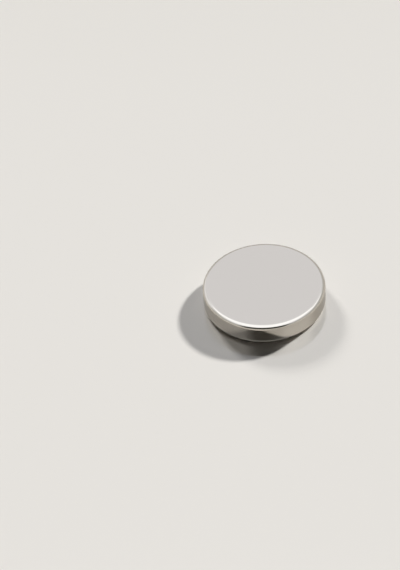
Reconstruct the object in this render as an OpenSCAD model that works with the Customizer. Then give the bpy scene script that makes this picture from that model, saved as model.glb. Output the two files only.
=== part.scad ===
// Disc magnet, one sintered piece: its pole faces are ground flat, its wall is ground round,
// its two rims are rounded by tumbling, and the bright plating covers all of it.
// Millimetres. The origin is the centre of the lower pole face, and +Z is the magnet's axis.

/* [Disc] */
// Diameter over the plating
disc_d = 10; // [5:0.5:40]
// Thickness from one pole face to the other
disc_t = 1.8; // [1.2:0.1:10]

/* [Rims] */
// Radius that tumbling leaves where the wall meets each pole face
rim_r = 0.35; // [0.1:0.05:0.55]

/* [Hidden] */
$fn = 96;

disc_r = disc_d / 2;
pole_face_r = disc_r - rim_r; // the flat part of a pole face
wall_h = disc_t - 2 * rim_r; // the straight part of the wall
rim_levels = [rim_r, disc_t - rim_r]; // the centres of the rounded rims

// Half of the disc's section, from the axis out to the wall
module half_section() {
    square([pole_face_r, disc_t]);
    translate([0, rim_r]) square([disc_r, wall_h]);
    for (level = rim_levels)
        translate([pole_face_r, level]) circle(r = rim_r);
}

module magnet_disc() {
    color("#CFCBC8") rotate_extrude() half_section();
}

magnet_disc();
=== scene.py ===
import math
import bmesh
import bpy
from mathutils import Matrix, Vector


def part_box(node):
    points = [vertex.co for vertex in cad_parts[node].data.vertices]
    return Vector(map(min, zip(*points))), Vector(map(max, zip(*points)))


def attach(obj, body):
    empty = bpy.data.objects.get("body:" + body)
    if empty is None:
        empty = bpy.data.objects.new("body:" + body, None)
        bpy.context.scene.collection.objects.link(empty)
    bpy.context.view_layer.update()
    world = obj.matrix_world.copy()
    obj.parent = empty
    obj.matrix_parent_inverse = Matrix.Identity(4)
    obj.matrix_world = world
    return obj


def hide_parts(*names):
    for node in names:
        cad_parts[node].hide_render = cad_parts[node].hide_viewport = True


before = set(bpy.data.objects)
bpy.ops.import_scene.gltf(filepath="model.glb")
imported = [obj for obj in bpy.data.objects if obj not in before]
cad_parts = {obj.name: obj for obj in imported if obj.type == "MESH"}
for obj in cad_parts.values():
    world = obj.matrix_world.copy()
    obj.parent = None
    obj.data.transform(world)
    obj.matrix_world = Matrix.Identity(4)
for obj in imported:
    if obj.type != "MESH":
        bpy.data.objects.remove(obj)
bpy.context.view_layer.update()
print("frame loaded:", ", ".join(sorted(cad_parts)))


def deselectAll():
    bpy.ops.object.select_all(action="DESELECT")


def towards(azimuth, elevation):
    # a unit vector: azimuth 0 is +X and 90 is +Y, in degrees, as on a plan
    a = math.radians(azimuth)
    e = math.radians(elevation)
    return Vector((math.cos(a) * math.cos(e), math.sin(a) * math.cos(e), math.sin(e)))


def newMaterial(name):
    material = bpy.data.materials.new(name)
    material.use_nodes = True
    return material, material.node_tree, material.node_tree.nodes["Principled BSDF"]


def addNode(tree, kind, **settings):
    node = tree.nodes.new(kind)
    for key, value in settings.items():
        setattr(node, key, value)
    return node


def link(tree, output, socket):
    tree.links.new(output, socket)


def mathNode(tree, operation, a, b):
    # a and b are sockets or plain numbers
    node = addNode(tree, "ShaderNodeMath", operation=operation)
    for socket, value in zip(node.inputs, (a, b)):
        if isinstance(value, bpy.types.NodeSocket):
            link(tree, value, socket)
        else:
            socket.default_value = value
    return node.outputs[0]


# The camera looks along +Y and down onto the disc, a little rolled, with the disc right of
# the middle
camera = {
    "lens": 158,  # mm
    "distance": 0.2049,  # from the aim to the lens
    "elevation": 44.0,
    "roll": -4.1,
    "aim": (-0.00518, 0.00138, 0.0009),
    "nearest": 0.01,  # nothing closer to the lens than this shows
}


def placeCamera(look):
    deselectAll()
    back = towards(-90, look["elevation"])
    turn = (-back).to_track_quat("-Z", "Y").to_matrix()
    roll = Matrix.Rotation(math.radians(look["roll"]), 3, "Z")
    bpy.ops.object.camera_add(location=Vector(look["aim"]) + back * look["distance"])
    cam = bpy.context.object
    cam.rotation_euler = (turn @ roll).to_euler()
    cam.data.lens = look["lens"]
    cam.data.clip_start = look["nearest"]
    bpy.context.scene.camera = cam


placeCamera(camera)
print("camera placed")


# The magnet: a turned disc with rounded rims; its radius and thickness come from the frame's box
disc = {
    "rim": 0.00035,  # radius where the wall meets a pole face
    "rimSteps": 14,  # facets across a rim
    "sides": 256,  # facets round the wall
    "faceRings": (0.00004, 0.0012, 0.0016),  # ring widths on a pole face, from its rim inwards
    "wallRing": 0.00004,  # a ring this wide along each edge of the wall keeps its shading straight
}


def selectWhere(piece, edges=None, faces=None):
    # selects, in edit mode, the edges or the faces that a test picks by their place or normal
    mesh = bmesh.from_edit_mesh(piece.data)
    for item in [*mesh.verts, *mesh.edges, *mesh.faces]:
        item.select = False
    for item in (mesh.edges if edges else mesh.faces):
        if (edges or faces)(item):
            item.select_set(True)
    bmesh.update_edit_mesh(piece.data)


def makeMagnet(look):
    low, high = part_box("magnet_disc")
    radius = high.x
    thickness = high.z - low.z
    middle = Vector((0, 0, thickness / 2))
    bpy.ops.mesh.primitive_cylinder_add(
        vertices=look["sides"], radius=radius, depth=thickness, location=middle)
    piece = bpy.context.object
    piece.name = "magnet"
    bpy.ops.object.mode_set(mode="EDIT")
    # both rims: their edges lie level
    bpy.ops.mesh.select_mode(type="EDGE")
    selectWhere(piece, edges=lambda e: abs(e.verts[0].co.z - e.verts[1].co.z) < thickness / 4)
    bpy.ops.mesh.bevel(
        offset=look["rim"], offset_type="OFFSET", segments=look["rimSteps"], profile=0.5,
        affect="EDGES")
    # both pole faces: no other face has more than four corners
    bpy.ops.mesh.select_mode(type="FACE")
    selectWhere(piece, faces=lambda f: len(f.verts) > 4)
    for width in look["faceRings"]:
        bpy.ops.mesh.inset(thickness=width)
    bpy.ops.mesh.poke()
    # the wall: its faces stand upright
    selectWhere(piece, faces=lambda f: abs(f.normal.z) < 0.01)
    bpy.ops.mesh.inset(thickness=look["wallRing"])
    bpy.ops.mesh.select_all(action="SELECT")
    bpy.ops.mesh.normals_make_consistent(inside=False)
    bpy.ops.object.mode_set(mode="OBJECT")
    bpy.ops.object.transform_apply(location=True, rotation=True, scale=True)
    bpy.ops.object.shade_smooth()
    return piece


# Bright nickel: near-mirror pole faces, a slightly softer wall, faint orange peel and hairlines
nickel = {
    "colour": (0.642, 0.597, 0.535, 1),
    "edgeTint": (0.86, 0.86, 0.86, 1),  # nickel mirrors a little less towards a grazing angle
    "faceRoughness": 0.07,
    "wallRoughness": 0.11,
    "patchRoughness": 0.02,  # how far the roughness wanders with the orange peel
    "peelSize": 900,  # orange peel, per metre
    "peelDetail": 2,
    "peelDepth": 0.0000004,
    "hairlineSize": 2600,  # hairlines on the wall, per metre
    "hairlineDetail": 3,
    "hairlineStretch": (1, 1, 0.06),  # they are drawn out along the axis
    "hairlineDepth": 0.0000006,
}


def nickelMaterial(look):
    material, tree, shader = newMaterial("brightNickel")
    shader.inputs["Base Color"].default_value = look["colour"]
    shader.inputs["Specular Tint"].default_value = look["edgeTint"]
    shader.inputs["Metallic"].default_value = 1
    place = addNode(tree, "ShaderNodeTexCoord").outputs["Object"]
    peel = addNode(tree, "ShaderNodeTexNoise")
    peel.inputs["Scale"].default_value = look["peelSize"]
    peel.inputs["Detail"].default_value = look["peelDetail"]
    link(tree, place, peel.inputs["Vector"])
    stretch = addNode(tree, "ShaderNodeMapping")
    stretch.inputs["Scale"].default_value = look["hairlineStretch"]
    link(tree, place, stretch.inputs["Vector"])
    hairlines = addNode(tree, "ShaderNodeTexNoise")
    hairlines.inputs["Scale"].default_value = look["hairlineSize"]
    hairlines.inputs["Detail"].default_value = look["hairlineDetail"]
    link(tree, stretch.outputs[0], hairlines.inputs["Vector"])
    # the wall is where the surface stands upright: 0 on a pole face, 1 on the wall
    normal = addNode(tree, "ShaderNodeNewGeometry").outputs["Normal"]
    axes = addNode(tree, "ShaderNodeSeparateXYZ")
    link(tree, normal, axes.inputs[0])
    tilt = mathNode(tree, "ABSOLUTE", axes.outputs["Z"], 0)
    wall = mathNode(tree, "SUBTRACT", 1, tilt)
    rough = mathNode(tree, "MULTIPLY", wall, look["wallRoughness"] - look["faceRoughness"])
    patches = mathNode(tree, "MULTIPLY", peel.outputs["Fac"], look["patchRoughness"])
    rough = mathNode(tree, "ADD", rough, patches)
    rough = mathNode(tree, "ADD", rough, look["faceRoughness"] - look["patchRoughness"] / 2)
    link(tree, rough, shader.inputs["Roughness"])
    peelBump = addNode(tree, "ShaderNodeBump")
    peelBump.inputs["Distance"].default_value = look["peelDepth"]
    link(tree, peel.outputs["Fac"], peelBump.inputs["Height"])
    hairlineBump = addNode(tree, "ShaderNodeBump")
    hairlineBump.inputs["Distance"].default_value = look["hairlineDepth"]
    onWall = mathNode(tree, "MULTIPLY", hairlines.outputs["Fac"], wall)
    link(tree, onWall, hairlineBump.inputs["Height"])
    link(tree, peelBump.outputs[0], hairlineBump.inputs["Normal"])
    link(tree, hairlineBump.outputs[0], shader.inputs["Normal"])
    return material


deselectAll()
magnet = makeMagnet(disc)
magnet.data.materials.append(nickelMaterial(nickel))
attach(magnet, "root")
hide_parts("magnet_disc")
print("magnet modelled:", len(magnet.data.polygons), "faces")


# A pale floor with a faint sheen
paleFloor = {
    "size": 1.4,
    "colour": (0.955, 0.92, 0.86, 1),
    "sheen": 0.16,  # share of its light that it mirrors
    "blur": 0.12,  # roughness of that sheen
}


def makeFloor(look):
    deselectAll()
    bpy.ops.mesh.primitive_plane_add(size=look["size"])
    floor = bpy.context.object
    floor.name = "floor"
    material, tree, shader = newMaterial("floorAcrylic")
    tree.nodes.remove(shader)
    matt = addNode(tree, "ShaderNodeBsdfDiffuse")
    matt.inputs["Color"].default_value = look["colour"]
    gloss = addNode(tree, "ShaderNodeBsdfAnisotropic")
    gloss.inputs["Color"].default_value = look["colour"]
    gloss.inputs["Roughness"].default_value = look["blur"]
    both = addNode(tree, "ShaderNodeMixShader")
    both.inputs["Fac"].default_value = look["sheen"]
    link(tree, matt.outputs[0], both.inputs[1])
    link(tree, gloss.outputs[0], both.inputs[2])
    link(tree, both.outputs[0], tree.nodes["Material Output"].inputs["Surface"])
    floor.data.materials.append(material)


# Two soft suns for the floor, which leave no glint on the magnet. "from" is the azimuth and the
# elevation that the light comes from, and "softness" is the sun's width, all in degrees.
lamps = {
    "keyLamp": {"from": (40, 30), "strength": 3.4, "softness": 5},
    "fillLamp": {"from": (115, 25), "strength": 1.66, "softness": 11},
}


def makeLamp(name, look):
    deselectAll()
    bpy.ops.object.light_add(type="SUN")
    lamp = bpy.context.object
    lamp.name = name
    lamp.rotation_euler = towards(*look["from"]).to_track_quat("Z", "Y").to_euler()
    lamp.data.energy = look["strength"]
    lamp.data.angle = math.radians(look["softness"])
    lamp.visible_glossy = False


# Soft-edged screens and dark cards for the magnet to mirror: where each stands, as azimuth and
# elevation, how far off, how large, and the share of its width and height over which each edge
# fades. One that is "twiceMirrored" shows only in the floor's sheen as the magnet mirrors it.
screens = {
    "backScreen": {
        "from": (87, 46), "distance": 0.4, "size": (0.42, 0.24), "edges": (0.3, 0.3),
        "glow": 1.0, "colour": (0.972, 1, 1.079, 1)},
    "sideScreen": {
        "from": (138, 27), "distance": 0.3, "size": (0.38, 0.22), "edges": (0.3, 0.2),
        "glow": 1.12, "colour": (0.97, 1, 1.06, 1)},
    "leftCeiling": {
        "from": (148, 53), "distance": 0.35, "size": (0.24, 0.12), "edges": (0.3, 0.3),
        "glow": 1.6, "colour": (0.96, 1, 1.06, 1)},
    "rightCeiling": {
        "from": (26, 48), "distance": 0.35, "size": (0.34, 0.13), "edges": (0.3, 0.35),
        "glow": 1.5, "colour": (0.96, 1, 1.06, 1)},
    "darkCard": {
        "from": (-94, 26.2), "distance": 0.2, "size": (0.38, 0.162), "edges": (0.237, 0.145),
        "glow": 0.05, "colour": (1, 0.95, 0.8, 1)},
    "frontCard": {
        "from": (-94, 28), "distance": 0.19, "size": (0.361, 0.169), "edges": (0.237, 0.157),
        "glow": 0.06, "colour": (1, 0.95, 0.8, 1), "twiceMirrored": True},
    "rightCard": {
        "from": (42, 53), "distance": 0.3, "size": (0.42, 0.2), "edges": (0.25, 0.2),
        "glow": 0.05, "colour": (1, 0.95, 0.8, 1), "twiceMirrored": True},
}


def screenMaterial(name, look):
    # glows evenly in the middle and fades to nothing at the edges
    material, tree, shader = newMaterial(name)
    tree.nodes.remove(shader)
    glow = addNode(tree, "ShaderNodeEmission")
    glow.inputs["Color"].default_value = look["colour"]
    glow.inputs["Strength"].default_value = look["glow"]
    axes = addNode(tree, "ShaderNodeSeparateXYZ")
    link(tree, addNode(tree, "ShaderNodeTexCoord").outputs["Object"], axes.inputs[0])
    # before it is scaled, the plane reaches 0.5 to each side
    fades = []
    for axis, edge in zip(("X", "Y"), look["edges"]):
        fade = addNode(tree, "ShaderNodeMapRange", interpolation_type="SMOOTHSTEP")
        link(tree, mathNode(tree, "ABSOLUTE", axes.outputs[axis], 0), fade.inputs["Value"])
        fade.inputs["From Min"].default_value = 0.5
        fade.inputs["From Max"].default_value = 0.5 - edge
        fades.append(fade.outputs[0])
    cover = mathNode(tree, "MULTIPLY", *fades)
    if look.get("twiceMirrored"):
        mirrorings = addNode(tree, "ShaderNodeLightPath").outputs["Glossy Depth"]
        twice = mathNode(tree, "GREATER_THAN", mirrorings, 1.5)
        cover = mathNode(tree, "MULTIPLY", cover, twice)
    both = addNode(tree, "ShaderNodeMixShader")
    link(tree, cover, both.inputs["Fac"])
    link(tree, addNode(tree, "ShaderNodeBsdfTransparent").outputs[0], both.inputs[1])
    link(tree, glow.outputs[0], both.inputs[2])
    link(tree, both.outputs[0], tree.nodes["Material Output"].inputs["Surface"])
    return material


def makeScreen(name, look):
    deselectAll()
    away = towards(*look["from"])
    bpy.ops.mesh.primitive_plane_add(size=1, location=away * look["distance"])
    screen = bpy.context.object
    screen.name = name
    screen.rotation_euler = away.to_track_quat("Z", "Y").to_euler()
    screen.scale = (*look["size"], 1)
    screen.data.materials.append(screenMaterial(name, look))
    screen.visible_camera = False
    screen.visible_diffuse = False
    screen.visible_shadow = False


# The air is what the magnet mirrors beside the screens: dim over the floor, bright and cool
# towards the ceiling
air = {
    "ambient": 0.025,  # what lights the floor besides the lamps
    "glow": 1.7,
    "tones": (  # the sine of the elevation, and the share of the glow
        (0, (0.376, 0.382, 0.378)),
        (0.34, (0.364, 0.37, 0.366)),
        (0.5, (0.398, 0.41, 0.419)),
        (0.588, (0.463, 0.48, 0.498)),
        (0.643, (0.538, 0.56, 0.587)),
        (0.695, (0.647, 0.676, 0.716)),
        (0.766, (0.797, 0.835, 0.892)),
        (0.839, (0.906, 0.95, 1.015)),
        (0.99, (0.906, 0.95, 1.015)),
        (1, (0.797, 0.835, 0.892)),
    ),
}


def makeWorld(look):
    world = bpy.data.worlds.new("studioAir")
    bpy.context.scene.world = world
    world.use_nodes = True
    tree = world.node_tree
    background = tree.nodes["Background"]
    axes = addNode(tree, "ShaderNodeSeparateXYZ")
    link(tree, addNode(tree, "ShaderNodeTexCoord").outputs["Generated"], axes.inputs[0])
    ramp = addNode(tree, "ShaderNodeValToRGB")
    steps = ramp.color_ramp.elements
    steps.remove(steps[1])
    for place, tone in look["tones"]:
        step = steps[0] if place == 0 else steps.new(place)
        step.color = (*tone, 1)
    link(tree, axes.outputs["Z"], ramp.inputs["Fac"])
    # a mirror shows the tones, the camera sees plain white, and the rest gets the ambient
    path = addNode(tree, "ShaderNodeLightPath")
    noMattYet = mathNode(tree, "LESS_THAN", path.outputs["Diffuse Depth"], 0.5)
    mirrored = mathNode(tree, "MULTIPLY", path.outputs["Is Glossy Ray"], noMattYet)
    tone = addNode(tree, "ShaderNodeMix", data_type="RGBA")
    link(tree, mirrored, tone.inputs["Factor"])
    tone.inputs["A"].default_value = (1, 1, 1, 1)
    link(tree, ramp.outputs["Color"], tone.inputs["B"])
    link(tree, tone.outputs["Result"], background.inputs["Color"])
    glow = mathNode(tree, "MULTIPLY", mirrored, look["glow"])
    seen = mathNode(tree, "MAXIMUM", path.outputs["Is Camera Ray"], glow)
    strength = mathNode(tree, "MAXIMUM", seen, look["ambient"])
    link(tree, strength, background.inputs["Strength"])


makeFloor(paleFloor)
for name, look in lamps.items():
    makeLamp(name, look)
for name, look in screens.items():
    makeScreen(name, look)
makeWorld(air)
bpy.context.scene.view_settings.view_transform = "Standard"
print("studio lit")
